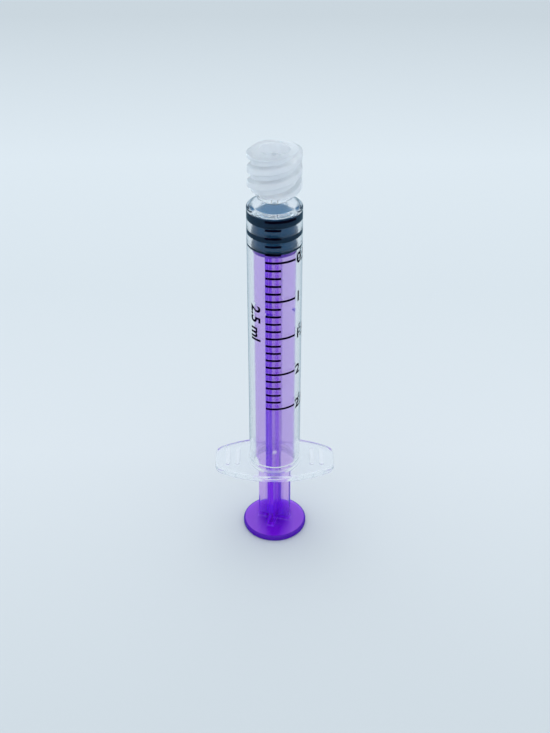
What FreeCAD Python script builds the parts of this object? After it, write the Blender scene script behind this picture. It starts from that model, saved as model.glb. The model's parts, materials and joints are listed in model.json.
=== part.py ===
"""A 2.5 ml enteral syringe, pressed fully home and standing on its thumb rest.

Three pieces: a clear moulded barrel with finger flanges and a threaded connector, a coloured plunger rod,
and the rubber seal that is snapped on the rod's nose. Millimetres, +Z up. The origin is the centre of the
thumb rest's outer face, and the axis of the syringe is the Z axis.
"""

import FreeCAD, Part
import math
import os

import Sketcher
from FreeCAD import Placement, Rotation, Vector

# The sizes that a designer would set, each by itself. Levels of the plunger count from the thumb face, and
# levels of the barrel count from its open mouth.
SIZES = {
    # Fits between the pieces
    "end_gap": 0.1,
    "front_gap": 0.2,
    "seal_clearance": 0.05,
    "rib_clearance": 0.4,
    "head_clearance": 0.25,
    "nose_clearance": 0.05,
    # Barrel tube, from its flared mouth to its conical end
    "bore": 8.8,
    "barrel_wall": 0.8,
    "bore_length": 59.05,
    "mouth_flare": 0.4,
    "flare_length": 1.0,
    "bead_level": 1.95,
    "bead_height": 0.15,
    "bead_length": 1.2,
    "bead_crest": 0.4,
    "gate_level": 6.75,
    "gate_diameter": 1.0,
    "gate_depth": 0.18,
    # Shoulder and neck
    "corner_height": 0.63,
    "corner_round": 0.4,
    "bend_diameter": 8.9,
    "bend_rise": 0.33,
    "bend_round": 0.45,
    "shoulder_rise": 1.44,
    "neck_diameter": 6.2,
    "neck_height": 1.45,
    "neck_round": 0.35,
    "end_ledge": 1.05,
    "ledge_rise": 0.1,
    # Connector: a threaded collar round a tapered socket, with the low-dose nozzle inside
    "collar_diameter": 8.5,
    "collar_height": 7.65,
    "socket_mouth": 5.6,
    "socket_floor": 5.3,
    "socket_depth": 6.9,
    "nozzle_diameter": 2.0,
    "nozzle_setback": 1.0,
    "lumen": 0.9,
    "thread_diameter": 10.0,
    "thread_lead": 5.5,
    "thread_root": 2.3,
    "thread_crest": 0.7,
    "thread_round": 0.4,
    "thread_bite": 0.3,
    "thread_drop": 1.5,
    "lead_in": 0.5,
    "run_out": 0.2,
    # Finger flange
    "flange_width": 24.7,
    "flange_depth": 13.5,
    "flange_thickness": 1.5,
    "flange_arc": 22.6,
    "flange_corner": 2.5,
    "flange_edge": 0.35,
    "flange_root": 0.6,
    "ridge_inset": 7.75,
    "ridge_pitch": 2.0,
    "ridge_length": 5.5,
    "ridge_width": 0.9,
    "ridge_height": 0.25,
    # Plunger rod
    "thumb_inset": 0.05,
    "thumb_thickness": 1.35,
    "thumb_round": 0.45,
    "grip_circle": 9.6,
    "grip_pitch": 1.2,
    "grip_width": 0.5,
    "grip_depth": 0.25,
    "stem_reach": 3.29,
    "ramp_setback": 0.35,
    "ramp_length": 1.4,
    "rib_thickness": 1.25,
    "rib_round": 0.3,
    "foot_round": 0.4,
    "notch_level": 54.9,
    "notch_depth": 0.6,
    "notch_width": 0.9,
    "rod_length": 68.05,
    "head_thickness": 0.75,
    "head_round": 0.15,
    "nose_diameter": 2.8,
    "nose_length": 1.4,
    "barb_diameter": 4.2,
    "barb_length": 1.0,
    "barb_tip": 2.0,
    "barb_cone": 1.6,
    "rod_turn": -15.7,
    # Seal
    "seal_height": 7.05,
    "cone_diameter": 7.4,
    "cone_rise": 1.3,
    "tip_diameter": 2.7,
    "front_ring": 1.8,
    "middle_ring": 1.1,
    "middle_level": 2.35,
    "rear_ring": 0.5,
    "groove_depth": 0.35,
    "ring_round": 0.12,
}

# What follows from them. Each line is a formula of the sheet, so a change of one size moves all that it
# carries.
WORKED_OUT = {
    # Levels above the thumb face
    "thumb_diameter": "=flange_depth - 2 * thumb_inset",
    "thumb_middle": "=thumb_thickness / 2",
    "notch_low": "=notch_level - notch_width / 2",
    "notch_high": "=notch_level + notch_width / 2",
    "head_base": "=rod_length - head_thickness",
    "head_middle": "=rod_length - head_thickness / 2",
    "nose_top": "=rod_length + nose_length",
    "barb_top": "=nose_top + barb_length",
    "barb_end": "=barb_top + barb_cone",
    "rear_ring_top": "=rod_length + rear_ring",
    "middle_ring_low": "=rod_length + middle_level",
    "middle_ring_top": "=middle_ring_low + middle_ring",
    "cone_foot": "=rod_length + seal_height",
    "front_ring_low": "=cone_foot - front_ring",
    "seal_top": "=cone_foot + cone_rise",
    "bore_end": "=cone_foot + front_gap",
    "ledge_end": "=bore_end + ledge_rise",
    "bore_top": "=seal_top + end_gap",
    "mouth": "=bore_end - bore_length",
    "stem_top": "=mouth + ramp_setback",
    "ramp_top": "=stem_top + ramp_length",
    "flare_top": "=mouth + flare_length",
    "flange_top": "=mouth + flange_thickness",
    "bead_low": "=mouth + bead_level - bead_length / 2",
    "bead_crest_low": "=mouth + bead_level - bead_crest / 2",
    "bead_crest_top": "=mouth + bead_level + bead_crest / 2",
    "bead_top": "=mouth + bead_level + bead_length / 2",
    "gate_centre": "=mouth + gate_level",
    "shoulder_edge": "=bore_end + corner_height",
    "bend_level": "=shoulder_edge + bend_rise",
    "shoulder_top": "=bend_level + shoulder_rise",
    "collar_base": "=shoulder_top + neck_height",
    "rim": "=collar_base + collar_height",
    "socket_base": "=rim - socket_depth",
    "nozzle_end": "=rim - nozzle_setback",
    "above_rim": "=rim + thread_lead",
    "lead_in_base": "=rim - lead_in",
    "run_out_top": "=collar_base + run_out",
    "below_collar": "=collar_base - thread_lead / 2",
    "thread_start": "=collar_base - thread_drop",
    "thread_length": "=collar_height + thread_drop + thread_root / 2",
    "thread_root_low": "=thread_start - thread_root / 2",
    "thread_root_high": "=thread_start + thread_root / 2",
    "thread_crest_low": "=thread_start - thread_crest / 2",
    "thread_crest_high": "=thread_start + thread_crest / 2",
    # Distances from the axis
    "bore_radius": "=bore / 2",
    "flare_radius": "=bore_radius + mouth_flare",
    "barrel_radius": "=bore_radius + barrel_wall",
    "bead_radius": "=bore_radius - bead_height",
    "bead_root": "=bore_radius + barrel_wall / 2",
    "ledge_radius": "=bore_radius - end_ledge",
    "cone_end_radius": "=tip_diameter / 2 + seal_clearance",
    "bend_radius": "=bend_diameter / 2",
    "neck_radius": "=neck_diameter / 2",
    "collar_radius": "=collar_diameter / 2",
    "socket_mouth_radius": "=socket_mouth / 2",
    "socket_floor_radius": "=socket_floor / 2",
    "nozzle_radius": "=nozzle_diameter / 2",
    "lumen_radius": "=lumen / 2",
    "thread_radius": "=thread_diameter / 2",
    "thread_inner": "=collar_radius - thread_bite",
    "thread_round_centre": "=thread_radius - thread_round",
    "outside_thread": "=thread_radius + lead_in",
    "rib_reach": "=bore_radius - rib_clearance",
    "notch_floor": "=rib_reach - notch_depth",
    "head_diameter": "=bore - 2 * head_clearance",
    "nose_radius": "=nose_diameter / 2",
    "barb_radius": "=barb_diameter / 2",
    "barb_tip_radius": "=barb_tip / 2",
    "seal_radius": "=bore_radius - seal_clearance",
    "groove_radius": "=seal_radius - groove_depth",
    "cone_radius": "=cone_diameter / 2",
    "tip_radius": "=tip_diameter / 2",
    # The pocket inside the seal, all round the nose
    "pocket_root_radius": "=nose_radius + nose_clearance",
    "pocket_radius": "=barb_radius + nose_clearance",
    "pocket_tip_radius": "=barb_tip_radius + nose_clearance",
    "pocket_step": "=nose_top - nose_clearance",
    "pocket_side_top": "=barb_top + nose_clearance",
    "pocket_end": "=barb_end + nose_clearance",
    # Flange and its ridges
    "flange_reach": "=flange_width / 2",
    "flange_arc_centre": "=flange_depth / 2 - flange_arc",
    "ridge_radius": "=ridge_width / 2",
    "ridge_end": "=(ridge_length - ridge_width) / 2",
    "second_ridge": "=ridge_inset + ridge_pitch",
    "grip_radius": "=grip_width / 2",
}

# How many grooves the thumb face has on each side of its middle one
GRIP_GROOVES = 3
THREAD_STARTS = 2


def fill_sheet(doc):
    """Write every size and formula into one spreadsheet, under its own name."""
    sheet = doc.addObject("Spreadsheet::Sheet", "Sizes")
    for row, (name, content) in enumerate({**SIZES, **WORKED_OUT}.items(), start=1):
        sheet.set(f"A{row}", name)
        sheet.set(f"B{row}", str(content))
        sheet.setAlias(f"B{row}", name)
    doc.recompute()
    return sheet


def value(sketch, name):
    """The present value of a sheet name, which may have a minus sign before it."""
    sheet = sketch.Document.Sizes
    return -sheet.get(name[1:]) if name.startswith("-") else sheet.get(name)


def formula(name):
    """The expression that ties a size to a sheet name."""
    return f"-Sizes.{name[1:]}" if name.startswith("-") else f"Sizes.{name}"


def settle(feature):
    """Recompute, and stop if the feature failed, changed nothing or left a broken solid."""
    body = feature.getParentGeoFeatureGroup()
    feature.Document.recompute()
    if not feature.isValid() or feature.Shape.isNull() or not feature.Shape.isValid():
        raise RuntimeError(f"{feature.Label} failed: {feature.State}")
    before = feature.BaseFeature.Shape.Volume if feature.BaseFeature else 0.0
    change = feature.Shape.Volume - before
    solids = len(feature.Shape.Solids)
    if abs(change) < 1e-4 or solids != 1:
        raise RuntimeError(f"{feature.Label} changed the volume by {change} and left {solids} solids")
    body.Tip = feature
    return feature


def new_sketch(body, name, role, level=None):
    """A sketch on one of the body's own origin planes, raised to a level of the sheet if one is named."""
    sketch = body.newObject("Sketcher::SketchObject", name)
    plane = next(item for item in body.Origin.OriginFeatures if item.Role == role)
    sketch.AttachmentSupport = [(plane, "")]
    sketch.MapMode = "FlatFace"
    if level:
        sketch.setExpression("AttachmentOffset.Base.z", formula(level))
    sketch.Document.recompute()
    return sketch


def bind(sketch, kind, *where, name):
    """Add a dimension to the sketch and tie it to a sheet name."""
    index = sketch.addConstraint(Sketcher.Constraint(kind, *where, value(sketch, name)))
    sketch.setExpression(f"Constraints[{index}]", formula(name))


def put(sketch, edge, point, across, up):
    """Hold a point of an edge at a place measured from the sketch's origin."""
    if across == "0":
        sketch.addConstraint(Sketcher.Constraint("PointOnObject", edge, point, -2))
    else:
        bind(sketch, "DistanceX", -1, 1, edge, point, name=across)
    if up == "0":
        sketch.addConstraint(Sketcher.Constraint("PointOnObject", edge, point, -1))
    else:
        bind(sketch, "DistanceY", -1, 1, edge, point, name=up)


def outline(sketch, corners):
    """A closed outline of straight lines through corners, each given by two sheet names."""
    spots = [
        Vector(*(0.0 if name == "0" else value(sketch, name) for name in corner), 0.0) for corner in corners
    ]
    lines = [Part.LineSegment(a, b) for a, b in zip(spots, spots[1:] + spots[:1])]
    edges = sketch.addGeometry(lines, False)
    for edge, following in zip(edges, edges[1:] + edges[:1]):
        sketch.addConstraint(Sketcher.Constraint("Coincident", edge, 2, following, 1))
    for edge, (across, up) in zip(edges, corners):
        put(sketch, edge, 1, across, up)


def circle(sketch, diameter):
    """A circle round the sketch's origin."""
    edge = sketch.addGeometry(Part.Circle(Vector(), Vector(0, 0, 1), value(sketch, diameter) / 2), False)
    sketch.addConstraint(Sketcher.Constraint("Coincident", edge, 3, -1, 1))
    bind(sketch, "Diameter", edge, name=diameter)
    return edge


def slot(sketch, middle, half_length, radius):
    """A straight slot along the sketch's Y with round ends. Returns its two end arcs, upper first."""
    up = Vector(0, half_length, 0)
    side = Vector(value(sketch, radius), 0, 0)
    upper_circle = Part.Circle(middle + up, Vector(0, 0, 1), side.x)
    lower_circle = Part.Circle(middle - up, Vector(0, 0, 1), side.x)
    upper, lower, right, left = sketch.addGeometry(
        [
            Part.ArcOfCircle(upper_circle, 0, math.pi),
            Part.ArcOfCircle(lower_circle, math.pi, 2 * math.pi),
            Part.LineSegment(middle - up + side, middle + up + side),
            Part.LineSegment(middle + up - side, middle - up - side),
        ],
        False,
    )
    joins = ((upper, 1, right, 2), (upper, 2, left, 1), (lower, 1, left, 2), (lower, 2, right, 1))
    for arc, end, line, line_end in joins:
        sketch.addConstraint(Sketcher.Constraint("Tangent", arc, end, line, line_end))
    bind(sketch, "Radius", upper, name=radius)
    return upper, lower


def turn(body, sketch, kind="Revolution"):
    """Turn a profile once round the axis, as a Revolution that adds or a Groove that cuts."""
    feature = body.newObject(f"PartDesign::{kind}", sketch.Name + kind)
    feature.Profile = sketch
    feature.ReferenceAxis = (sketch, ["V_Axis"])
    feature.Angle = 360
    return settle(feature)


def extrude(body, sketch, length, kind="Pad", backwards=False, both_ways=False):
    """Pad or Pocket a sketch by a length of the sheet."""
    feature = body.newObject(f"PartDesign::{kind}", sketch.Name + kind)
    feature.Profile = sketch
    feature.setExpression("Length", formula(length))
    feature.Reversed = backwards
    if both_ways:
        feature.SideType = "Symmetric"
    return settle(feature)


def round_edges(body, name, radius, chosen):
    """Fillet those edges of the body's latest feature for which chosen(edge) is true."""
    base = body.Tip
    names = [f"Edge{i}" for i, edge in enumerate(base.Shape.Edges, start=1) if chosen(edge)]
    feature = body.newObject("PartDesign::Fillet", name)
    feature.Base = (base, names)
    feature.setExpression("Radius", formula(radius))
    return settle(feature)


def lies_at(edge, level):
    """True for an edge that lies in the level plane at that height."""
    return abs(edge.BoundBox.ZMin - level) < 1e-4 and abs(edge.BoundBox.ZMax - level) < 1e-4


def is_ring(edge, radius, level):
    """True for a circle round the axis, of that radius and at that level."""
    box = edge.BoundBox
    return lies_at(edge, level) and abs(box.XMax - radius) < 1e-4 and abs(box.XMin + radius) < 1e-4


def is_upright(edge):
    """True for a straight edge that runs along Z."""
    box = edge.BoundBox
    return box.XLength < 1e-4 and box.YLength < 1e-4 and box.ZLength > 1e-4


def new_body(doc, name):
    body = doc.addObject("PartDesign::Body", name)
    body.Label = name
    return body


def make_flange(body, sheet):
    """The finger flange: two long arcs, two short straight ends, rounded corners and edges."""
    plan = new_sketch(body, "flange_plan", "XY_Plane", "mouth")
    reach, depth = sheet.flange_reach, sheet.flange_depth / 2
    half_angle = math.asin(reach / sheet.flange_arc)
    side = depth - sheet.flange_arc + sheet.flange_arc * math.cos(half_angle)
    rear_circle = Part.Circle(Vector(0, sheet.flange_arc_centre, 0), Vector(0, 0, 1), sheet.flange_arc)
    front_circle = Part.Circle(Vector(0, -sheet.flange_arc_centre, 0), Vector(0, 0, 1), sheet.flange_arc)
    rear, left, front, right = plan.addGeometry(
        [
            Part.ArcOfCircle(rear_circle, math.pi / 2 - half_angle, math.pi / 2 + half_angle),
            Part.LineSegment(Vector(-reach, side, 0), Vector(-reach, -side, 0)),
            Part.ArcOfCircle(front_circle, -math.pi / 2 - half_angle, -math.pi / 2 + half_angle),
            Part.LineSegment(Vector(reach, -side, 0), Vector(reach, side, 0)),
        ],
        False,
    )
    for edge, following in ((rear, left), (left, front), (front, right), (right, rear)):
        plan.addConstraint(Sketcher.Constraint("Coincident", edge, 2, following, 1))
    put(plan, rear, 3, "0", "flange_arc_centre")
    put(plan, front, 3, "0", "-flange_arc_centre")
    for arc, right_end, left_end in ((rear, 1, 2), (front, 2, 1)):
        bind(plan, "Radius", arc, name="flange_arc")
        bind(plan, "DistanceX", -1, 1, arc, right_end, name="flange_reach")
        bind(plan, "DistanceX", -1, 1, arc, left_end, name="-flange_reach")
    extrude(body, plan, "flange_thickness")
    round_edges(
        body,
        "flange_corners",
        "flange_corner",
        lambda edge: is_upright(edge) and abs(abs(edge.Vertexes[0].X) - reach) < 1e-4,
    )
    round_edges(
        body,
        "flange_rim",
        "flange_edge",
        lambda edge: (lies_at(edge, sheet.mouth) or lies_at(edge, sheet.flange_top))
        and not is_ring(edge, sheet.barrel_radius, sheet.flange_top),
    )
    round_edges(body, "flange_root_round", "flange_root",
                lambda edge: is_ring(edge, sheet.barrel_radius, sheet.flange_top))


def make_ridges(body):
    """Grip bars on the face of the flange that the fingers pull, two on each wing."""
    plan = new_sketch(body, "ridge_plan", "XY_Plane", "flange_top")
    for across in ("ridge_inset", "second_ridge", "-ridge_inset", "-second_ridge"):
        middle = Vector(value(plan, across), 0, 0)
        upper, lower = slot(plan, middle, value(plan, "ridge_end"), "ridge_radius")
        put(plan, upper, 3, across, "ridge_end")
        put(plan, lower, 3, across, "-ridge_end")
    extrude(body, plan, "ridge_height")


def thread_profile(section):
    """The ridge's section: two flanks that lean in from its root to a flat crest with rounded corners."""
    low, high = value(section, "thread_crest_low"), value(section, "thread_crest_high")
    crest, middle = value(section, "thread_radius"), value(section, "thread_round_centre")
    root_low = Vector(value(section, "thread_inner"), value(section, "thread_root_low"), 0)
    root_high = Vector(value(section, "thread_inner"), value(section, "thread_root_high"), 0)
    low_circle = Part.Circle(Vector(middle, low, 0), Vector(0, 0, 1), crest - middle)
    high_circle = Part.Circle(Vector(middle, high, 0), Vector(0, 0, 1), crest - middle)
    low_flank, low_corner, top, high_corner, high_flank, root = section.addGeometry(
        [
            Part.LineSegment(root_low, Vector(middle, low - (crest - middle), 0)),
            Part.ArcOfCircle(low_circle, -math.pi / 2, 0),
            Part.LineSegment(Vector(crest, low, 0), Vector(crest, high, 0)),
            Part.ArcOfCircle(high_circle, 0, math.pi / 2),
            Part.LineSegment(Vector(middle, high + (crest - middle), 0), root_high),
            Part.LineSegment(root_high, root_low),
        ],
        False,
    )
    section.addConstraint(Sketcher.Constraint("Coincident", high_flank, 2, root, 1))
    section.addConstraint(Sketcher.Constraint("Coincident", root, 2, low_flank, 1))
    chain = (low_flank, low_corner, top, high_corner, high_flank)
    for edge, following in zip(chain, chain[1:]):
        section.addConstraint(Sketcher.Constraint("Tangent", edge, 2, following, 1))
    put(section, low_flank, 1, "thread_inner", "thread_root_low")
    put(section, root, 1, "thread_inner", "thread_root_high")
    for corner, level in ((low_corner, "thread_crest_low"), (high_corner, "thread_crest_high")):
        put(section, corner, 3, "thread_round_centre", level)
        bind(section, "Radius", corner, name="thread_round")


def make_collar(body):
    """The connector's collar with its coarse thread: one ridge wound up it, repeated for each start."""
    core = new_sketch(body, "collar_form", "XZ_Plane")
    outline(
        core,
        [
            ("0", "collar_base"),
            ("collar_radius", "collar_base"),
            ("collar_radius", "rim"),
            ("0", "rim"),
        ],
    )
    turn(body, core)

    for start in range(THREAD_STARTS):
        section = new_sketch(body, f"thread_section_{start + 1}", "XZ_Plane")
        turned = Rotation(Vector(0, 1, 0), start * 360 / THREAD_STARTS)
        section.AttachmentOffset = Placement(Vector(), turned)
        thread_profile(section)
        ridge = body.newObject("PartDesign::AdditiveHelix", f"thread_ridge_{start + 1}")
        ridge.Profile = section
        ridge.ReferenceAxis = (section, ["V_Axis"])
        ridge.Mode = "pitch-height-angle"
        ridge.Refine = False
        ridge.setExpression("Pitch", formula("thread_lead"))
        ridge.setExpression("Height", formula("thread_length"))
        settle(ridge)

    # The ridges are trimmed to the collar, with a lead-in at the rim and a short run-out at the neck.
    top = new_sketch(body, "thread_lead_in", "XZ_Plane")
    outline(
        top,
        [
            ("0", "rim"),
            ("collar_radius", "rim"),
            ("outside_thread", "lead_in_base"),
            ("outside_thread", "above_rim"),
            ("0", "above_rim"),
        ],
    )
    turn(body, top, "Groove")
    bottom = new_sketch(body, "thread_run_out", "XZ_Plane")
    outline(
        bottom,
        [
            ("0", "collar_base"),
            ("collar_radius", "collar_base"),
            ("outside_thread", "run_out_top"),
            ("outside_thread", "below_collar"),
            ("0", "below_collar"),
        ],
    )
    turn(body, bottom, "Groove")


def make_barrel(doc, sheet):
    """The clear barrel, one moulding: flange, tube, shoulder, neck and connector."""
    body = new_body(doc, "barrel")
    make_collar(body)

    tube = new_sketch(body, "tube_form", "XZ_Plane")
    outline(
        tube,
        [
            ("0", "mouth"),
            ("barrel_radius", "mouth"),
            ("barrel_radius", "shoulder_edge"),
            ("bend_radius", "bend_level"),
            ("neck_radius", "shoulder_top"),
            ("neck_radius", "socket_base"),
            ("0", "socket_base"),
        ],
    )
    turn(body, tube)
    round_edges(body, "shoulder_round", "corner_round",
                lambda edge: is_ring(edge, sheet.barrel_radius, sheet.shoulder_edge))
    round_edges(body, "shoulder_bend", "bend_round",
                lambda edge: is_ring(edge, sheet.bend_radius, sheet.bend_level))
    round_edges(body, "neck_foot", "neck_round",
                lambda edge: is_ring(edge, sheet.neck_radius, sheet.shoulder_top))
    make_flange(body, sheet)
    make_ridges(body)

    # Where the plastic entered the mould, a small round mark is sunk in the front of the tube.
    gate = new_sketch(body, "gate_mark", "XZ_Plane", "barrel_radius")
    gate_circle = Part.Circle(Vector(0, sheet.gate_centre, 0), Vector(0, 0, 1), sheet.gate_diameter / 2)
    mark = gate.addGeometry(gate_circle, False)
    put(gate, mark, 3, "0", "gate_centre")
    bind(gate, "Diameter", mark, name="gate_diameter")
    extrude(body, gate, "gate_depth", "Pocket")

    hollow = new_sketch(body, "bore_form", "XZ_Plane")
    outline(
        hollow,
        [
            ("0", "mouth"),
            ("flare_radius", "mouth"),
            ("bore_radius", "flare_top"),
            ("bore_radius", "bore_end"),
            ("ledge_radius", "ledge_end"),
            ("cone_end_radius", "bore_top"),
            ("0", "bore_top"),
        ],
    )
    turn(body, hollow, "Groove")

    bead = new_sketch(body, "stop_bead", "XZ_Plane")
    outline(
        bead,
        [
            ("bead_root", "bead_low"),
            ("bore_radius", "bead_low"),
            ("bead_radius", "bead_crest_low"),
            ("bead_radius", "bead_crest_top"),
            ("bore_radius", "bead_top"),
            ("bead_root", "bead_top"),
        ],
    )
    turn(body, bead)

    socket = new_sketch(body, "socket_form", "XZ_Plane")
    outline(
        socket,
        [
            ("nozzle_radius", "socket_base"),
            ("socket_floor_radius", "socket_base"),
            ("socket_mouth_radius", "rim"),
            ("0", "rim"),
            ("0", "nozzle_end"),
            ("nozzle_radius", "nozzle_end"),
        ],
    )
    turn(body, socket, "Groove")

    passage = new_sketch(body, "lumen_form", "XZ_Plane")
    outline(
        passage,
        [
            ("0", "bore_top"),
            ("lumen_radius", "bore_top"),
            ("lumen_radius", "nozzle_end"),
            ("0", "nozzle_end"),
        ],
    )
    turn(body, passage, "Groove")
    return body


def make_rod(doc, sheet):
    """The plunger rod: a round thumb rest, four ribs that guide it in the bore, a head and a barbed nose.

    It is drawn with its ribs along X and Y, and the finished rod is turned about its axis."""
    body = new_body(doc, "plunger_rod")
    disc = new_sketch(body, "thumb_rest", "XY_Plane")
    circle(disc, "thumb_diameter")
    extrude(body, disc, "thumb_thickness")
    rim = sheet.thumb_diameter / 2
    round_edges(
        body,
        "thumb_edges",
        "thumb_round",
        lambda edge: is_ring(edge, rim, 0) or is_ring(edge, rim, sheet.thumb_thickness),
    )

    # One flat plate carries two opposite ribs. They are narrow below the barrel's mouth, full width inside.
    half = [
        ("stem_reach", "thumb_middle"),
        ("stem_reach", "stem_top"),
        ("rib_reach", "ramp_top"),
        ("rib_reach", "notch_low"),
        ("notch_floor", "notch_level"),
        ("rib_reach", "notch_high"),
        ("rib_reach", "head_middle"),
    ]
    plate = new_sketch(body, "rib_pair", "XZ_Plane")
    outline(plate, half + [("-" + across, up) for across, up in reversed(half)])
    ribs = extrude(body, plate, "rib_thickness", both_ways=True)
    cross = body.newObject("PartDesign::PolarPattern", "rib_cross")
    cross.Originals = [ribs]
    cross.Axis = (plate, ["V_Axis"])
    cross.Angle = 90
    cross.Occurrences = 2
    settle(cross)
    inner = sheet.rib_thickness / 2
    round_edges(
        body,
        "rib_roots",
        "rib_round",
        lambda edge: is_upright(edge)
        and abs(abs(edge.Vertexes[0].X) - inner) < 1e-4
        and abs(abs(edge.Vertexes[0].Y) - inner) < 1e-4,
    )
    round_edges(
        body,
        "rib_feet",
        "foot_round",
        lambda edge: lies_at(edge, sheet.thumb_thickness)
        and max(edge.BoundBox.XMax, edge.BoundBox.YMax) < sheet.stem_reach + 1e-4,
    )

    head = new_sketch(body, "head", "XY_Plane", "head_base")
    circle(head, "head_diameter")
    extrude(body, head, "head_thickness")
    round_edges(
        body,
        "head_edges",
        "head_round",
        lambda edge: is_ring(edge, sheet.head_diameter / 2, sheet.rod_length),
    )

    nose = new_sketch(body, "nose", "XZ_Plane")
    outline(
        nose,
        [
            ("0", "head_middle"),
            ("nose_radius", "head_middle"),
            ("nose_radius", "nose_top"),
            ("barb_radius", "nose_top"),
            ("barb_radius", "barb_top"),
            ("barb_tip_radius", "barb_end"),
            ("0", "barb_end"),
        ],
    )
    turn(body, nose)

    # Shallow grooves across the thumb face, each as long as the circle they end on allows.
    grip = new_sketch(body, "thumb_grip", "XY_Plane")
    limit = circle(grip, "grip_circle")
    grip.setConstruction(limit, True)
    for index in range(-GRIP_GROOVES, GRIP_GROOVES + 1):
        across = index * sheet.grip_pitch
        half_length = math.sqrt((sheet.grip_circle / 2) ** 2 - across**2)
        upper, lower = slot(grip, Vector(across, 0, 0), half_length, "grip_radius")
        for end in (upper, lower):
            grip.addConstraint(Sketcher.Constraint("PointOnObject", end, 3, limit))
            if index:
                place = grip.addConstraint(Sketcher.Constraint("DistanceX", -1, 1, end, 3, across))
                grip.setExpression(f"Constraints[{place}]", f"{index} * Sizes.grip_pitch")
            else:
                grip.addConstraint(Sketcher.Constraint("PointOnObject", end, 3, -2))
    extrude(body, grip, "grip_depth", "Pocket", backwards=True)

    body.Placement = Placement(Vector(), Rotation(Vector(0, 0, 1), sheet.rod_turn))
    body.setExpression("Placement.Rotation.Angle", formula("rod_turn"))
    return body


def make_seal(doc, sheet):
    """The rubber seal: three contact rings, a conical front and an undercut pocket for the rod's nose."""
    body = new_body(doc, "plunger_seal")
    form = new_sketch(body, "seal_form", "XZ_Plane")
    outline(
        form,
        [
            ("0", "rod_length"),
            ("seal_radius", "rod_length"),
            ("seal_radius", "rear_ring_top"),
            ("groove_radius", "rear_ring_top"),
            ("groove_radius", "middle_ring_low"),
            ("seal_radius", "middle_ring_low"),
            ("seal_radius", "middle_ring_top"),
            ("groove_radius", "middle_ring_top"),
            ("groove_radius", "front_ring_low"),
            ("seal_radius", "front_ring_low"),
            ("seal_radius", "cone_foot"),
            ("cone_radius", "cone_foot"),
            ("tip_radius", "seal_top"),
            ("0", "seal_top"),
        ],
    )
    turn(body, form)
    round_edges(
        body,
        "ring_edges",
        "ring_round",
        lambda edge: is_ring(edge, sheet.seal_radius, edge.BoundBox.ZMin) and edge.BoundBox.ZLength < 1e-4,
    )

    pocket = new_sketch(body, "nose_pocket", "XZ_Plane")
    outline(
        pocket,
        [
            ("0", "rod_length"),
            ("pocket_root_radius", "rod_length"),
            ("pocket_root_radius", "pocket_step"),
            ("pocket_radius", "pocket_step"),
            ("pocket_radius", "pocket_side_top"),
            ("pocket_tip_radius", "pocket_end"),
            ("0", "pocket_end"),
        ],
    )
    turn(body, pocket, "Groove")
    return body


def main():
    doc = FreeCAD.newDocument("enteral_syringe")
    sheet = fill_sheet(doc)
    bodies = [make_barrel(doc, sheet), make_rod(doc, sheet), make_seal(doc, sheet)]
    doc.recompute()

    failed = [item.Label for item in doc.Objects if {"Invalid", "Error"} & set(item.State)]
    if failed:
        raise RuntimeError(f"these objects failed: {failed}")
    for body in bodies:
        if body.Shape.isNull() or not body.Shape.isValid() or len(body.Shape.Solids) != 1:
            raise RuntimeError(f"{body.Label} is not one sound solid")

    os.makedirs("parts", exist_ok=True)
    for body in bodies:
        body.Shape.exportStep(f"parts/{body.Label}.step")
        box = body.Shape.BoundBox
        print(f"{body.Label}: {body.Shape.Volume:.1f} mm3, z {box.ZMin:.2f} to {box.ZMax:.2f}")
    print(f"travel: {sheet.rod_length - sheet.bead_top:.2f} mm")


main()
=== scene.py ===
# %% [markdown]
# # An enteral syringe, dressed in Blender
#
# The syringe was built as three solids in a CAD program: a clear barrel, a purple plunger rod and a
# rubber seal. Here they are loaded as a fixed frame, in metres, and get what a solid can't have:
# finishes that let light through, a seal that really touches the wall, and the ink of the printed scale.

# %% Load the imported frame
import json
import math

import bmesh
import bpy
from mathutils import Matrix, Vector


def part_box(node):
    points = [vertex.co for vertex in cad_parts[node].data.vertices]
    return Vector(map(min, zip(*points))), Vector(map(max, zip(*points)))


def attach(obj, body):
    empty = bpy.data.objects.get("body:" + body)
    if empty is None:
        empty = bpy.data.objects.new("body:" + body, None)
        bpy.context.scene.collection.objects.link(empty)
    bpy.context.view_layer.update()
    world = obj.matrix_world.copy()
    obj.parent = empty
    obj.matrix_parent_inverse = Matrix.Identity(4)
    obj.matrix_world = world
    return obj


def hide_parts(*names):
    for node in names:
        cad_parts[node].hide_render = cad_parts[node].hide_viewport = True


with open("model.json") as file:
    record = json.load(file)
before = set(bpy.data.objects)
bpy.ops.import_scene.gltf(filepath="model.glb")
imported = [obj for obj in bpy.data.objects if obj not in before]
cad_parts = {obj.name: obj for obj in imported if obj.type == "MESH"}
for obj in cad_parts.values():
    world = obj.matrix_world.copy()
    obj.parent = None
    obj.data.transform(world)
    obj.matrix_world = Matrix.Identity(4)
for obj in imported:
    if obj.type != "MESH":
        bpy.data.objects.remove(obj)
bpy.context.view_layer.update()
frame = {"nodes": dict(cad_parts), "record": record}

# %% [markdown]
# ## Sizes that everything is placed by
#
# A finish has to sit on the real surface, so the sizes are asked of the frame and not typed again. The
# barrel's outside is stated by the mount that a holder clips on, and the flange's level by its own
# mount. The seal fills the bore apart from a small running gap, so the bore comes from the seal. One
# tenth of a millilitre in that bore gives the distance between two lines of the scale.

# %% Measure the frame
MM = 0.001
RUNNING_GAP = 0.05 * MM
ML = 1e-6

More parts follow.
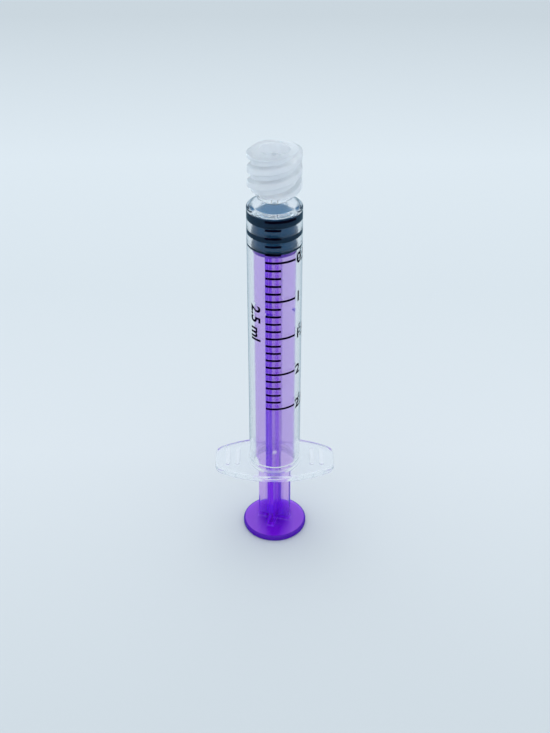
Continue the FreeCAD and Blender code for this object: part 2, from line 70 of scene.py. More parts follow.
mounts = {mount["name"]: mount for mount in frame["record"]["mounts"]}
outside_radius = mounts["barrel_outside"]["dims"]["r_mm"] * MM
flange_level = mounts["finger_flange"]["pos_m"][2]
seal_low, seal_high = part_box("plunger_seal")
bore_radius = seal_high.x + RUNNING_GAP
line_pitch = 0.1 * ML / (math.pi * bore_radius**2)
print(f"outside {2000 * outside_radius:.2f} mm, bore {2000 * bore_radius:.2f} mm")
print(f"one line of the scale every {1000 * line_pitch:.3f} mm")

# %% [markdown]
# ## Colours and nodes
#
# Colours are given in sRGB, as a screen shows them, while Cycles mixes light in linear values. One
# function turns a hex value into linear. Another adds a node with its settings and links, and the rest
# are built on it, which keeps each material short.

# %% Helpers for materials
BUMP_DEPTH = 0.004 * MM
POLYPROPYLENE_IOR = 1.49


def linear(hex_colour):
    """An sRGB hex value such as "d5e0e8" as a linear colour with alpha."""
    channels = [int(hex_colour[i : i + 2], 16) / 255 for i in (0, 2, 4)]
    return [c / 12.92 if c <= 0.04045 else ((c + 0.055) / 1.055) ** 2.4 for c in channels] + [1.0]


def add_node(tree, kind, settings=(), links=()):
    """Adds a node. A setting or link is named for a socket, or numbered where sockets share a name."""
    node = tree.nodes.new(kind)
    for name, value in dict(settings).items():
        if isinstance(name, int) or name in node.inputs:
            node.inputs[name].default_value = value
        else:
            setattr(node, name, value)
    for name, output in dict(links).items():
        tree.links.new(output, node.inputs[name])
    return node


def mix(tree, share, one, other):
    """Two shaders mixed. The share of the other is a number or a node's output."""
    as_link = not isinstance(share, float)
    settings = {} if as_link else {"Fac": share}
    links = {1: one, 2: other, **({"Fac": share} if as_link else {})}
    return add_node(tree, "ShaderNodeMixShader", settings, links).outputs["Shader"]


def set_stops(ramp, stops):
    """Gives a colour ramp its stops, each a position from 0 to 1 and a hex colour."""
    elements = ramp.color_ramp.elements
    while len(elements) < len(stops):
        elements.new(1.0)
    for element, (position, colour) in zip(elements, stops):
        element.position = position
        element.color = linear(colour)


def new_material(name):
    """An empty material and its node tree."""
    material = bpy.data.materials.new(name)
    material.use_nodes = True
    material.node_tree.nodes.clear()
    return material, material.node_tree


def fine_bump(tree, wave):
    """The slight unevenness of a moulded face: waves of a real length and depth, in metres."""
    place = add_node(tree, "ShaderNodeTexCoord")
    noise = add_node(tree, "ShaderNodeTexNoise", {"Scale": 1 / wave}, {"Vector": place.outputs["Object"]})
    size = {"Distance": BUMP_DEPTH, "Strength": 1.0}
    bump = add_node(tree, "ShaderNodeBump", size, {"Height": noise.outputs["Fac"]})
    return bump.outputs["Normal"]


# %% [markdown]
# ## Clear polypropylene
#
# The barrel is moulded in clarified polypropylene. A thin wall of it looks clear, but it is never as
# clear as glass: where the plastic is thick, as in the connector and the flange, it scatters light and
# turns milky. A volume that scatters would be the honest way, and slow to render. Here the height along
# the barrel stands in for the thickness, and mixes in a white shader, but only for rays that come from
# outside: the ones already in the plastic have to get out again, or it would turn dark.
#
# The connector's thread bends what lies behind it so often that nothing of it can be made out. So the
# connector is rougher than the tube, and three rays in ten go straight through it, which keeps it light.
#
# A ray caught between the thread's walls is turned back again and again, and Cycles gives it up as
# black. So after its third mirror-like turn it goes straight on.

# %% Make the clear polypropylene
TUBE_ROUGHNESS = 0.1
CONNECTOR_ROUGHNESS = 0.28
FLANGE_MILK = 0.2
RIDGE_MILK = 0.34
CONNECTOR_MILK = 0.85
RIM_MILK = 0.35
CONNECTOR_STRAIGHT = 0.3
LAST_TURN = 2.5
# Levels over the seal's tip: the tube's look ends at the first, and the connector's is full from the next
SHOULDER_END = 1.6 * MM
CONNECTOR_FOOT = 3.0 * MM
# Levels over the flange's rear face, downwards: no white, full on the ridges, falling, that of the flange
ABOVE_RIDGES = 2.4 * MM
RIDGE_TOPS = 1.8 * MM
RIDGE_FEET = 1.62 * MM
FLANGE_FACE = 1.52 * MM
# How far up a face looks, from 0 to 1: a side of the connector to the first, its top from the second
SIDE_FACE = 0.2
TOP_FACE = 0.9


def rising(tree, start, end, share):
    """0 at one level of the object and a share at another, with a straight rise between them."""
    place = add_node(tree, "ShaderNodeTexCoord")
    height = add_node(tree, "ShaderNodeSeparateXYZ", {}, {"Vector": place.outputs["Object"]})
    levels = {"From Min": start, "From Max": end, "To Max": share}
    ramp = add_node(tree, "ShaderNodeMapRange", levels, {"Value": height.outputs["Z"]})
    return ramp.outputs["Result"]


def from_outside(tree, share):
    """The share for a ray that meets the face from outside the plastic, and 0 for one from within."""
    face = add_node(tree, "ShaderNodeNewGeometry")
    inside = {1: face.outputs["Backfacing"]}
    outer = add_node(tree, "ShaderNodeMath", {"operation": "SUBTRACT", 0: 1.0}, inside)
    both = {0: outer.outputs["Value"], 1: share}
    return add_node(tree, "ShaderNodeMath", {"operation": "MULTIPLY"}, both).outputs["Value"]


def towards_connector(tree, share):
    """0 up to the shoulder and the share at the connector."""
    return rising(tree, seal_high.z + SHOULDER_END, seal_high.z + CONNECTOR_FOOT, share)


def plus(tree, one, other):
    """The sum of a node's output and either a number or another output."""
    if isinstance(other, float):
        return add_node(tree, "ShaderNodeMath", {"operation": "ADD", 1: other}, {0: one}).outputs["Value"]
    return add_node(tree, "ShaderNodeMath", {"operation": "ADD"}, {0: one, 1: other}).outputs["Value"]


def milkiness(tree):
    """The share of white: none on the tube, some at the flange, more on its ridges, most on the connector.

    The connector's upper faces get little, because they catch more light than its sides."""
    ridges = rising(tree, flange_level + ABOVE_RIDGES, flange_level + RIDGE_TOPS, RIDGE_MILK)
    less = FLANGE_MILK - RIDGE_MILK
    below_them = rising(tree, flange_level + RIDGE_FEET, flange_level + FLANGE_FACE, less)
    face = add_node(tree, "ShaderNodeNewGeometry")
    normal = add_node(tree, "ShaderNodeSeparateXYZ", {}, {"Vector": face.outputs["Normal"]})
    limits = {"From Min": SIDE_FACE, "From Max": TOP_FACE, "To Min": CONNECTOR_MILK, "To Max": RIM_MILK}
    by_slope = add_node(tree, "ShaderNodeMapRange", limits, {"Value": normal.outputs["Z"]})
    both = {0: by_slope.outputs["Result"], 1: towards_connector(tree, 1.0)}
    connector = add_node(tree, "ShaderNodeMath", {"operation": "MULTIPLY"}, both)
    return plus(tree, plus(tree, ridges, below_them), connector.outputs["Value"])


def caught(tree):
    """1 for a ray that has been mirrored more often than LAST_TURN, and 0 for all others."""
    path = add_node(tree, "ShaderNodeLightPath")
    more = {"operation": "GREATER_THAN", 1: LAST_TURN}
    return add_node(tree, "ShaderNodeMath", more, {0: path.outputs["Glossy Depth"]}).outputs["Value"]


def clear_polypropylene():
    material, tree = new_material("clear_polypropylene")
    bump = fine_bump(tree, 2.5 * MM)
    roughness = plus(tree, towards_connector(tree, CONNECTOR_ROUGHNESS - TUBE_ROUGHNESS), TUBE_ROUGHNESS)
    clear = add_node(
        tree,
        "ShaderNodeBsdfPrincipled",
        {
            "Base Color": linear("fbfdff"),
            "IOR": POLYPROPYLENE_IOR,
            "Transmission Weight": 1.0,
            "Specular IOR Level": 0.15,
        },
        {"Roughness": roughness, "Normal": bump},
    )
    milky = add_node(tree, "ShaderNodeBsdfDiffuse", {"Color": linear("eef4fb")})
    plastic = mix(tree, from_outside(tree, milkiness(tree)), clear.outputs["BSDF"], milky.outputs["BSDF"])
    straight_on = add_node(tree, "ShaderNodeBsdfTransparent")
    share = plus(tree, caught(tree), towards_connector(tree, CONNECTOR_STRAIGHT))
    surface = mix(tree, share, plastic, straight_on.outputs["BSDF"])
    add_node(tree, "ShaderNodeOutputMaterial", {}, {"Surface": surface})
    return material


clear_plastic = clear_polypropylene()
print("made", clear_plastic.name)

# %% [markdown]
# ## Purple polypropylene
#
# The rod is polypropylene too, with a purple dye dissolved in it and a little pigment. A dye doesn't
# colour the skin but the depth: a single rib is pale lilac, and where ribs stand behind each other the
# colour is deep. So the colour comes from a volume that absorbs light along its way, and a share of
# cloudy skin stands for the pigment. The thumb rest is the thickest part, and the cloudiest. The cloudy
# skin's colour is painted shade and light: deep along the rim as painted shade, deep in the middle and
# front as a painted reflection of the ribs above, and paler to the left and right.

# %% Make the purple polypropylene
THUMB_RADIUS = 6.7 * MM
RIB_PIGMENT = 0.1
ROOT_PIGMENT = 0.5
THUMB_PIGMENT = 0.7
HEAD_PIGMENT = 0.75
# Painted shade and light on the cloudy skin: deep near the middle, paler to the left and right
THUMB_SHADE_STOPS = ((0.3, "7a08f0"), (0.62, "a456ff"))
# The rim's painted shade
THUMB_RIM_SHADE = "5c04cc"
# How much a distance to the front or back counts beside one to the side, in the thumb rest's painted
# shading
DEPTH_SHARE = 0.35
# Levels over the table: the rim's painted shade, the thumb rest's pigment and that of the ribs' roots,
# each from where it is full to where it ends
RIM_SHADE_FULL = 1.12 * MM
RIM_SHADE_END = 1.33 * MM
THUMB_FULL = 2.1 * MM
THUMB_END = 3.2 * MM
ROOT_FULL = 12.5 * MM
ROOT_END = 15.5 * MM
# Levels under the seal where the head's pigment starts and is full
HEAD_START = 1.0 * MM
HEAD_FULL = 0.9 * MM
# Distances from the axis: the ribs' roots, in metres, and the rim's painted shade, in shares of the thumb
# rest's radius
ROOT_INNER = 1.3 * MM
ROOT_OUTER = 2.1 * MM
RIM_SHADE_INNER = 0.93
RIM_SHADE_OUTER = 0.96
DYE_COLOUR = (0.61, 0.0, 0.97, 1.0)
DYE_DENSITY = 430.0


def from_axis(tree, full, depth=1.0):
    """The distance from the axis as a share of the full one. A depth under 1 counts Y for less than X."""
    place = add_node(tree, "ShaderNodeTexCoord")
    spot = {"Vector": place.outputs["Object"]}
    flat = add_node(tree, "ShaderNodeMapping", {"Scale": (1, depth, 0)}, spot)
    across = {"Vector": flat.outputs["Vector"]}
    radius = add_node(tree, "ShaderNodeVectorMath", {"operation": "LENGTH"}, across)
    by_full = {"operation": "DIVIDE", 1: full}
    return add_node(tree, "ShaderNodeMath", by_full, {0: radius.outputs["Value"]}).outputs["Value"]


def larger(tree, one, other):
    """The larger of two outputs."""
    return add_node(tree, "ShaderNodeMath", {"operation": "MAXIMUM"}, {0: one, 1: other}).outputs["Value"]


def pigment(tree):
    """The share of cloudy skin: small along the ribs, more at their roots below the barrel, large at both
    ends."""
    foot = plus(tree, rising(tree, THUMB_END, THUMB_FULL, THUMB_PIGMENT - RIB_PIGMENT), RIB_PIGMENT)
    head = rising(tree, seal_low.z - HEAD_START, seal_low.z - HEAD_FULL, HEAD_PIGMENT)
    more = ROOT_PIGMENT - RIB_PIGMENT
    limits = {"From Min": ROOT_OUTER / MM, "From Max": ROOT_INNER / MM, "To Max": more}
    roots = add_node(tree, "ShaderNodeMapRange", limits, {"Value": from_axis(tree, MM, 0.0)})
    both = {0: roots.outputs["Result"], 1: rising(tree, ROOT_END, ROOT_FULL, 1.0)}
    near_foot = add_node(tree, "ShaderNodeMath", {"operation": "MULTIPLY"}, both)
    stem = plus(tree, near_foot.outputs["Value"], RIB_PIGMENT)
    return larger(tree, larger(tree, foot, stem), head)


def purple_polypropylene():
    material, tree = new_material("purple_polypropylene")
    bump = fine_bump(tree, 1.2 * MM)
    # The cloudy skin's colour is painted shade and light: deep in the middle, at the front and along the
    # rim
    across = from_axis(tree, THUMB_RADIUS, DEPTH_SHARE)
    shading_across = add_node(tree, "ShaderNodeValToRGB", {}, {"Fac": across})
    set_stops(shading_across, THUMB_SHADE_STOPS)
    low = rising(tree, RIM_SHADE_END, RIM_SHADE_FULL, 1.0)
    limits = {"From Min": RIM_SHADE_INNER, "From Max": RIM_SHADE_OUTER}
    outer = add_node(tree, "ShaderNodeMapRange", limits, {"Value": from_axis(tree, THUMB_RADIUS)})
    rim = larger(tree, low, outer.outputs["Result"])
    colours = {0: rim, 6: shading_across.outputs["Color"]}
    colour = add_node(tree, "ShaderNodeMix", {"data_type": "RGBA"}, colours)
    colour.inputs[7].default_value = linear(THUMB_RIM_SHADE)
    clear = add_node(
        tree,
        "ShaderNodeBsdfPrincipled",
        {
            "Base Color": linear("ffffff"),
            "Roughness": 0.1,
            "IOR": POLYPROPYLENE_IOR,
            "Transmission Weight": 1.0,
            "Specular IOR Level": 0.3,
        },
        {"Normal": bump},
    )
    cloudy = add_node(
        tree,
        "ShaderNodeBsdfPrincipled",
        {"Roughness": 0.25, "Specular IOR Level": 0.4},
        {"Base Color": colour.outputs[2], "Normal": bump},
    )
    plastic = mix(tree, from_outside(tree, pigment(tree)), clear.outputs["BSDF"], cloudy.outputs["BSDF"])
    straight_on = add_node(tree, "ShaderNodeBsdfTransparent")
    surface = mix(tree, caught(tree), plastic, straight_on.outputs["BSDF"])
    dye = add_node(tree, "ShaderNodeVolumeAbsorption", {"Color": DYE_COLOUR, "Density": DYE_DENSITY})
    add_node(tree, "ShaderNodeOutputMaterial", {}, {"Surface": surface, "Volume": dye.outputs["Volume"]})
    return material


purple_plastic = purple_polypropylene()
print("made", purple_plastic.name)

# %% [markdown]
# ## Dark blue rubber
#
# The seal is a moulded rubber, dark blue and wet with silicone oil. Where a ring presses on the wall,
# the oil fills the last air between them, the wall's inner face stops mirroring, and the eye sees
# straight into black, so the rings' colour is painted much darker as painted shade. In the grooves there
# is air, so the rubber's own blue shows. The cone in front is painted paler, as painted light and sheen
# on a face that looks up, and its flat tip is painted dark, as the painted shade of the nozzle. The
# distance from the axis tells them apart.

# %% Make the dark blue rubber
# Distances from the axis and colours: the tip's painted shade, the cone's painted light and sheen,
# the grooves' own blue and the rings' painted shade
RUBBER_BLUE_AND_SHADE_STOPS = (
    (1.25 * MM, "1d4a68"),
    (1.5 * MM, "86b2d8"),
    (3.75 * MM, "86b2d8"),
    (3.85 * MM, "00527f"),
    (4.3 * MM, "00527f"),
    (4.38 * MM, "052a48"),
)


def blue_black_rubber():
    material, tree = new_material("blue_black_rubber")
    bump = fine_bump(tree, 0.35 * MM)
    # Colour by distance from the axis: painted shade on the tip and rings, painted light and sheen on the
    # cone
    colour = add_node(tree, "ShaderNodeValToRGB", {}, {"Fac": from_axis(tree, bore_radius)})
    set_stops(colour, [(radius / bore_radius, shade) for radius, shade in RUBBER_BLUE_AND_SHADE_STOPS])
    shader = add_node(
        tree,
        "ShaderNodeBsdfPrincipled",
        {"Roughness": 0.4, "IOR": 1.52, "Specular IOR Level": 0.08},
        {"Base Color": colour.outputs["Color"], "Normal": bump},
    )
    add_node(tree, "ShaderNodeOutputMaterial", {}, {"Surface": shader.outputs["BSDF"]})
    return material


dark_rubber = blue_black_rubber()
print("made", dark_rubber.name)

# %% [markdown]
# ## Printing ink
#
# The scale is pad-printed or screen-printed with a blue-black ink, a film of about a hundredth of a
# millimetre. It is matt beside the plastic and lets no light through, so a plain dark shader is enough.
#
# ## Whitened polypropylene
#
# Where the plastic entered the mould, the sprue was twisted off. The torn skin is full of tiny cracks
# that scatter light, so it is whitish and matt. It is thin, and the purple behind it still shows
# through.

# %% Make the ink and the whitened plastic
SEEN_THROUGH = 0.6


def printing_ink():
    material, tree = new_material("printing_ink")
    look = {"Base Color": linear("030110"), "Roughness": 0.5, "Specular IOR Level": 0.0}
    film = add_node(tree, "ShaderNodeBsdfPrincipled", look)
    add_node(tree, "ShaderNodeOutputMaterial", {}, {"Surface": film.outputs["BSDF"]})
    return material


def whitened_polypropylene():
    material, tree = new_material("whitened_polypropylene")
    torn = add_node(tree, "ShaderNodeBsdfDiffuse", {"Color": linear("f4f0fa")})
    straight_on = add_node(tree, "ShaderNodeBsdfTransparent")
    surface = mix(tree, SEEN_THROUGH, torn.outputs["BSDF"], straight_on.outputs["BSDF"])
    add_node(tree, "ShaderNodeOutputMaterial", {}, {"Surface": surface})
    return material


ink = printing_ink()
whitened_plastic = whitened_polypropylene()
print("made", ink.name, "and", whitened_plastic.name)

# %% [markdown]
# ## Dress the two plastic pieces
#
# The barrel and the rod keep their CAD meshes, which are already rounded where the real mouldings are.
# Only their material changes.

# %% Give the two plastics to the CAD solids
for node, material in (("barrel", clear_plastic), ("plunger_rod", purple_plastic)):
    mesh = frame["nodes"][node].data
    mesh.materials.clear()
    mesh.materials.append(material)
    print(node, "is", material.name)

# %% [markdown]
# ## How a new piece joins the syringe
#
# Every new piece is a mesh with its place in its own points, so its object stays at the origin. It rides
# on one of the two bodies that move, the plunger or the barrel, and so goes wherever that body goes.

# %% Helper for new pieces
def finish_piece(shape, name, material, body):
    """Turns a bmesh into a smooth-shaded object at the origin that rides on a body."""
    mesh = bpy.data.meshes.new(name)
    shape.to_mesh(mesh)
    shape.free()
    mesh.materials.append(material)
    mesh.shade_smooth()
    piece = bpy.data.objects.new(name, mesh)
    bpy.context.scene.collection.objects.link(piece)
    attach(piece, body)
    print(f"{name}: {len(mesh.polygons)} faces, rides on {body}")
    return piece


# %% [markdown]
# ## The rubber seal
#
# The real seal is squeezed into the bore, and its three rings are flattened against the wall. The solid
# has to stay clear of the wall, to count as a part of its own, so the light shows a gap all round it.
# This new seal takes its place and bites a little into the wall. Being round, it is half an outline,
# spun once about the axis, with its corners rounded by a bevel first. Its pocket for the rod's nose is
# kept, because the outline has to end somewhere and the rod is see-through.

# %% Model the rubber seal
WALL_BITE = 0.02 * MM
RING_ROUND = 0.12 * MM
ROUNDED_BEYOND = 3 * MM
SPIN_STEPS = 96
WELD = 0.001 * MM
# Distances from the axis, or in from the bore
GROOVE_DEPTH = 0.4 * MM
POCKET_MOUTH_RADIUS = 1.45 * MM
POCKET_RADIUS = 2.15 * MM
POCKET_END_RADIUS = 1.05 * MM
CONE_RADIUS = 3.7 * MM
TIP_RADIUS = 1.35 * MM
# Levels over the seal's rear face
POCKET_MOUTH_TOP = 1.35 * MM
POCKET_SIDE_TOP = 2.45 * MM
POCKET_END = 4.05 * MM
REAR_RING_TOP = 0.5 * MM
MIDDLE_RING_LOW = 2.35 * MM
MIDDLE_RING_TOP = 3.45 * MM
FRONT_RING_TOP = 7.05 * MM
FRONT_RING_HEIGHT = 1.8 * MM


def seal_outline():
    """Radius and level of each corner, from the pocket's end round the outside to the tip."""
    ring = bore_radius + WALL_BITE
    groove = bore_radius - GROOVE_DEPTH
    base = seal_low.z
    front = base + FRONT_RING_TOP
    return [
        (0, base + POCKET_END),
        (POCKET_END_RADIUS, base + POCKET_END),
        (POCKET_RADIUS, base + POCKET_SIDE_TOP),
        (POCKET_RADIUS, base + POCKET_MOUTH_TOP),
        (POCKET_MOUTH_RADIUS, base + POCKET_MOUTH_TOP),
        (POCKET_MOUTH_RADIUS, base),
        (ring, base),
        (ring, base + REAR_RING_TOP),
        (groove, base + REAR_RING_TOP),
        (groove, base + MIDDLE_RING_LOW),
        (ring, base + MIDDLE_RING_LOW),
        (ring, base + MIDDLE_RING_TOP),
        (groove, base + MIDDLE_RING_TOP),
        (groove, front - FRONT_RING_HEIGHT),
        (ring, front - FRONT_RING_HEIGHT),
        (ring, front),
        (CONE_RADIUS, front),
        (TIP_RADIUS, seal_high.z),
        (0, seal_high.z),
    ]


def spun_seal():
    shape = bmesh.new()
    corners = [shape.verts.new((radius, 0, level)) for radius, level in seal_outline()]
    for one, next_one in zip(corners, corners[1:]):
        shape.edges.new((one, next_one))
    bmesh.ops.bevel(
        shape,
        geom=[corner for corner in corners if corner.co.x > ROUNDED_BEYOND],
        offset=RING_ROUND,
        segments=3,
        profile=0.5,
        affect="VERTICES",
        material=-1,
    )
    bmesh.ops.spin(
        shape,
        geom=shape.verts[:] + shape.edges[:],
        cent=(0, 0, 0),
        axis=(0, 0, 1),
        angle=2 * math.pi,
        steps=SPIN_STEPS,
        use_merge=True,
    )
    bmesh.ops.remove_doubles(shape, verts=shape.verts, dist=WELD)
    bmesh.ops.recalc_face_normals(shape, faces=shape.faces)
    return shape


seal = finish_piece(spun_seal(), "rubber_seal", dark_rubber, "plunger")
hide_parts("plunger_seal")

# %% [markdown]
# ## The lines of the scale
#
# The scale has 26 lines, one for each tenth of a millilitre from 0 to 2.5, and every fifth is longer.
# They are printed on the outside of the barrel and start at the same place round it. A picture on the
# barrel would need to be unwrapped and would blur when seen close. Here each line is a real strip: one
# short upright edge, swept round the axis just outside the plastic.

# %% Print the lines of the scale
INK_LIFT = 0.004 * MM
LINE_WIDTH = 0.47 * MM
ZERO_BELOW_TIP = 1.5 * MM
LAST_LINE = 25
LINES_PER_NUMBER = 5
LEFT_END = math.radians(-19.5)
SHORT_END = math.radians(13.5)
LONG_END = math.radians(48)
SWEEP_STEP = math.radians(3)

zero_level = seal_high.z - ZERO_BELOW_TIP


def on_barrel(angle, level):
    """The point on the barrel's outside at that level, and at that angle to the right of the front."""
    radius = outside_radius + INK_LIFT
    return Vector((radius * math.sin(angle), -radius * math.cos(angle), level))


def scale_lines():
    shape = bmesh.new()
    for number in range(LAST_LINE + 1):
        level = zero_level - number * line_pitch
        sweep = (SHORT_END if number % LINES_PER_NUMBER else LONG_END) - LEFT_END
        low = shape.verts.new(on_barrel(LEFT_END, level - LINE_WIDTH / 2))
        high = shape.verts.new(on_barrel(LEFT_END, level + LINE_WIDTH / 2))
        edge = shape.edges.new((low, high))
        bmesh.ops.spin(
            shape,
            geom=[low, high, edge],
            cent=(0, 0, 0),
            axis=(0, 0, 1),
            angle=sweep,
            steps=math.ceil(sweep / SWEEP_STEP),
        )
    bmesh.ops.recalc_face_normals(shape, faces=shape.faces)
    return shape


finish_piece(scale_lines(), "scale_lines", ink, "barrel")

# %% [markdown]
# ## Words round a barrel
#
# Numbers are text, which Blender gives as a flat curve. A Curve or Shrinkwrap modifier could bend it,
# but a round barrel needs only arithmetic: the distance across becomes an angle, and the distance up
# stays a level. The flat letters have long faces that can't bend, so they are cut in narrow strips
# first. The text is made one unit large, a little bolder than the font, and then scaled to its real
# height.

# %% Helpers for printed words
CAPITALS = 0.69
BOLDER = 0.03
CUT_WIDTH = 0.2 * MM
CURVE_STEPS = 3
LETTER_WELD = 0.0001


def flat_text(words, height):
    """The words as a flat mesh in the XY plane, their capitals that high, centred on the origin."""
    curve = bpy.data.curves.new(words, "FONT")
    curve.body = words
    curve.offset = BOLDER
    curve.resolution_u = CURVE_STEPS
    holder = bpy.data.objects.new(words, curve)
    bpy.context.scene.collection.objects.link(holder)
    bpy.context.view_layer.update()
    mesh = bpy.data.meshes.new_from_object(holder.evaluated_get(bpy.context.evaluated_depsgraph_get()))
    bpy.data.objects.remove(holder)
    bpy.data.curves.remove(curve)
    shape = bmesh.new()
    shape.from_mesh(mesh)
    bpy.data.meshes.remove(mesh)
    bmesh.ops.remove_doubles(shape, verts=shape.verts, dist=LETTER_WELD)
    across = [vert.co.x for vert in shape.verts]
    upwards = [vert.co.y for vert in shape.verts]
    middle = Vector((min(across) + max(across), min(upwards) + max(upwards), 0)) / 2
    bmesh.ops.translate(shape, verts=shape.verts, vec=-middle)
    bmesh.ops.scale(shape, verts=shape.verts, vec=[height / CAPITALS] * 3)
    return shape


def wrap(shape, angle, level):
    """Cuts a flat shape in upright strips and lays it round the barrel, at that angle and level."""
    reach = max(vert.co.x for vert in shape.verts)
    cuts = math.ceil(reach / CUT_WIDTH)
    for cut in range(-cuts, cuts + 1):
        bmesh.ops.bisect_plane(
            shape,
            geom=shape.verts[:] + shape.edges[:] + shape.faces[:],
            plane_co=(cut * CUT_WIDTH, 0, 0),
            plane_no=(1, 0, 0),
        )
    for vert in shape.verts:
        vert.co = on_barrel(angle + vert.co.x / outside_radius, level + vert.co.y)
    return shape


def print_words(shapes, name):
    """Several wrapped shapes as one piece of ink on the barrel."""
    whole = bmesh.new()
    for shape in shapes:
        mesh = bpy.data.meshes.new(name)
        shape.to_mesh(mesh)
        shape.free()
        whole.from_mesh(mesh)
        bpy.data.meshes.remove(mesh)
    finish_piece(whole, name, ink, "barrel")


# %% [markdown]
# ## The numbers of the scale
#
# Each half millilitre has its number, just right of its long line. All start at the same place round the
# barrel, and a 1 stands in the middle of a place as wide as the other digits have.

# %% Print the numbers of the scale
NUMBER_HEIGHT = 2.1 * MM
NUMBER_START = math.radians(51)
ONE_INSET = 0.45 * MM

numbers = []
for number in range(LINES_PER_NUMBER, LAST_LINE + 1, LINES_PER_NUMBER):
    words = f"{number / 10:g}"
    shape = flat_text(words, NUMBER_HEIGHT)
    inset = ONE_INSET if words.startswith("1") else 0.0
    middle = inset + max(vert.co.x for vert in shape.verts)
    level = zero_level - number * line_pitch
    numbers.append(wrap(shape, NUMBER_START + middle / outside_radius, level))
print_words(numbers, "scale_numbers")

# %% [markdown]
# ## The size mark
#
# Left of the scale the syringe's size runs down the barrel. It is the same flat text, turned a quarter
# clockwise before it is wrapped.

# %% Print the size mark
MARK_HEIGHT = 2.2 * MM
MARK_ANGLE = math.radians(-44)
MARK_LEVEL = seal_low.z - 15 * MM

shape = flat_text("2.5 ml", MARK_HEIGHT)
quarter = Matrix.Rotation(-math.pi / 2, 3, "Z")
bmesh.ops.rotate(shape, verts=shape.verts, cent=(0, 0, 0), matrix=quarter)
print_words([wrap(shape, MARK_ANGLE, MARK_LEVEL)], "size_mark")

# %% [markdown]
# ## The gate scar
#
# The small round pit low on the front of the barrel is where the plastic entered the mould. The solid
# has the pit, and a little disc of whitened plastic lies just over its floor.

# %% Place the gate scar
GATE_LEVEL = flange_level + 6.75 * MM
GATE_FLOOR = outside_radius - 0.12 * MM
SCAR_RADIUS = 0.4 * MM

shape = bmesh.new()
bmesh.ops.create_circle(shape, cap_ends=True, segments=24, radius=SCAR_RADIUS)
upright = Matrix.Rotation(math.pi / 2, 3, "X")
bmesh.ops.rotate(shape, verts=shape.verts, cent=(0, 0, 0), matrix=upright)
bmesh.ops.translate(shape, verts=shape.verts, vec=(0, -GATE_FLOOR, GATE_LEVEL))
finish_piece(shape, "gate_scar", whitened_plastic, "barrel")

# %% [markdown]
# ## The table
#
# The syringe stands on a pale blue-white sheet. Its colour is painted a little darker towards the camera
# and far behind, as painted shade where less light reaches it. Clear plastic shows what it mirrors, and a
# photographer puts dark cards round it so that its skin doesn't wash out what lies behind. The nodes can
# do this with no cards: a ray that a surface mirrors is told apart from one that lights the sheet or looks
# at it, and finds a darker sheet.

# %% Lay the table
def mirrored(tree):
    """1 for a ray that a skin has mirrored, and 0 for all others, also those that were caught inside."""
    path = add_node(tree, "ShaderNodeLightPath")
    sockets = {0: path.outputs["Is Glossy Ray"], 1: path.outputs["Is Reflection Ray"]}
    skin = add_node(tree, "ShaderNodeMath", {"operation": "MULTIPLY"}, sockets)
    both = {0: skin.outputs["Value"], 1: caught(tree)}
    only = add_node(tree, "ShaderNodeMath", {"operation": "SUBTRACT", "use_clamp": True}, both)
    return only.outputs["Value"]


PAPER_NEAR = -60 * MM
PAPER_FAR = 360 * MM
# The sheet's colour from near to far: painted shade towards the camera and far behind
PAPER_SHADE_STOPS = ((0.0, "c1cbd1"), (0.2, "ccd5db"), (0.38, "c8d2d8"), (0.6, "cbd5db"), (1.0, "b9c3c9"))
TABLE_CARD = "64828f"
TABLE_RADIUS = 4.0


def table_paper():
    material, tree = new_material("table_paper")
    place = add_node(tree, "ShaderNodeTexCoord")
    depth = add_node(tree, "ShaderNodeSeparateXYZ", {}, {"Vector": place.outputs["Object"]})
    limits = {"From Min": PAPER_NEAR, "From Max": PAPER_FAR}
    way = add_node(tree, "ShaderNodeMapRange", limits, {"Value": depth.outputs["Y"]})
    # Painted shade: the sheet darker towards the camera and far behind
    painted_falloff = add_node(tree, "ShaderNodeValToRGB", {}, {"Fac": way.outputs["Result"]})
    set_stops(painted_falloff, PAPER_SHADE_STOPS)
    paper = add_node(tree, "ShaderNodeBsdfDiffuse", {}, {"Color": painted_falloff.outputs["Color"]})
    dark_card = add_node(tree, "ShaderNodeBsdfDiffuse", {"Color": linear(TABLE_CARD)})
    surface = mix(tree, mirrored(tree), paper.outputs["BSDF"], dark_card.outputs["BSDF"])
    add_node(tree, "ShaderNodeOutputMaterial", {}, {"Surface": surface})
    return material


shape = bmesh.new()
bmesh.ops.create_circle(shape, cap_ends=True, segments=64, radius=TABLE_RADIUS)
table_mesh = bpy.data.meshes.new("table")
shape.to_mesh(table_mesh)
shape.free()
table_mesh.materials.append(table_paper())
table = bpy.data.objects.new("table", table_mesh)
bpy.context.scene.collection.objects.link(table)
print("the table is a round sheet of", 2 * TABLE_RADIUS, "m")

# %% [markdown]
# ## Light
#
# The room is bright and even, a little darker towards the horizon, and has the same dark cards for
# mirrored rays. What the plastic bends into view above the table is a pale blue wall. One large soft
# lamp from behind gives the faint shadow before the foot. The plastic shows no image of it, because the
# photograph has no large bright spot on the barrel either.

# %% Light the room
SKY_STOPS = ((0.0, "d6dde4"), (0.4, "fcfdff"))
SKY_STRENGTH = 1.14
ROOM_CARD = "88b0c4"
PALE_WALL = "dce8f2"
LAMP_PLACE = Vector((-0.08, 0.32, 0.85))
LAMP_AIM = Vector((0, 0, 0.04))
LAMP_SIZE = 0.7
LAMP_WATTS = 1.25

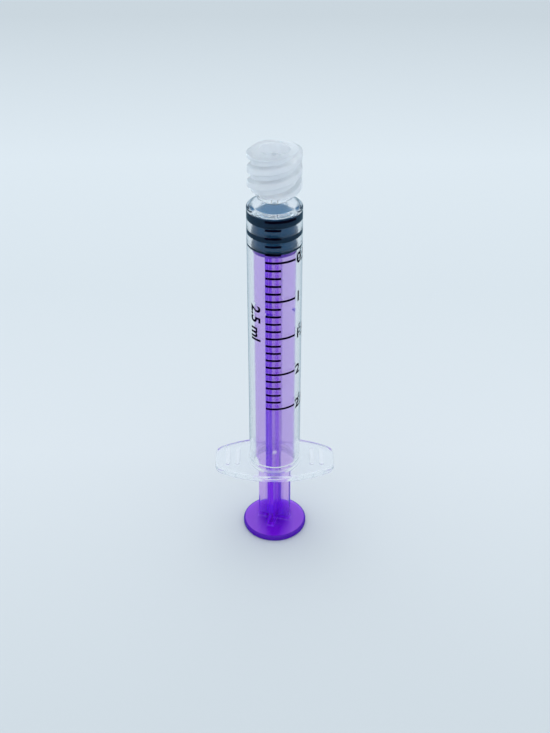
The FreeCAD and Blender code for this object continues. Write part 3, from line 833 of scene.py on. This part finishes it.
world = bpy.data.worlds.new("soft_room")
bpy.context.scene.world = world
world.use_nodes = True
room = world.node_tree
room.nodes.clear()
direction = add_node(room, "ShaderNodeTexCoord")
height = add_node(room, "ShaderNodeSeparateXYZ", {}, {"Vector": direction.outputs["Generated"]})
sky = add_node(room, "ShaderNodeValToRGB", {}, {"Fac": height.outputs["Z"]})
set_stops(sky, SKY_STOPS)
light = add_node(room, "ShaderNodeBackground", {"Strength": SKY_STRENGTH}, {"Color": sky.outputs["Color"]})
cards = add_node(room, "ShaderNodeBackground", {"Color": linear(ROOM_CARD)})
bent = add_node(room, "ShaderNodeBackground", {"Color": linear(PALE_WALL)})
path = add_node(room, "ShaderNodeLightPath")
through = plus(room, path.outputs["Is Transmission Ray"], caught(room))
surface = mix(room, through, light.outputs["Background"], bent.outputs["Background"])
surface = mix(room, mirrored(room), surface, cards.outputs["Background"])
add_node(room, "ShaderNodeOutputWorld", {}, {"Surface": surface})

lamp = bpy.data.lights.new("ceiling_light", "AREA")
lamp.size = LAMP_SIZE
lamp.energy = LAMP_WATTS
holder = bpy.data.objects.new("ceiling_light", lamp)
holder.visible_glossy = False
holder.visible_transmission = False
holder.location = LAMP_PLACE
holder.rotation_mode = "QUATERNION"
holder.rotation_quaternion = (LAMP_AIM - LAMP_PLACE).to_track_quat("-Z", "Y")
bpy.context.scene.collection.objects.link(holder)
print("one lamp of", lamp.energy, "W and an even room")

# %% [markdown]
# ## Camera
#
# The camera stands close in front and looks 34 degrees down, so the syringe narrows strongly towards its
# foot. Its distance and lens were worked out from the spacing of the scale's lines, the barrel's width
# and the ovals of its rims. Blender measures a lens in millimetres of film, so the focal length in pixels
# is scaled to a film as wide as the frame's long side.

# %% Place the camera
CAMERA_PLACE = (0.08 * MM, -188.94 * MM, 168.0 * MM)
CAMERA_DOWN = math.radians(34)
FOCAL_PIXELS = 1147
FRAME_LONG_SIDE = 733
SENSOR = 36.0
NEAREST = 0.01

camera = bpy.data.cameras.new("camera")
camera.sensor_width = SENSOR
camera.lens = SENSOR * FOCAL_PIXELS / FRAME_LONG_SIDE
camera.clip_start = NEAREST
holder = bpy.data.objects.new("camera", camera)
holder.location = CAMERA_PLACE
holder.rotation_euler = (math.pi / 2 - CAMERA_DOWN, 0, 0)
bpy.context.scene.collection.objects.link(holder)
bpy.context.scene.camera = holder
bpy.context.scene.view_settings.view_transform = "Standard"
print(f"lens {camera.lens:.1f} mm")
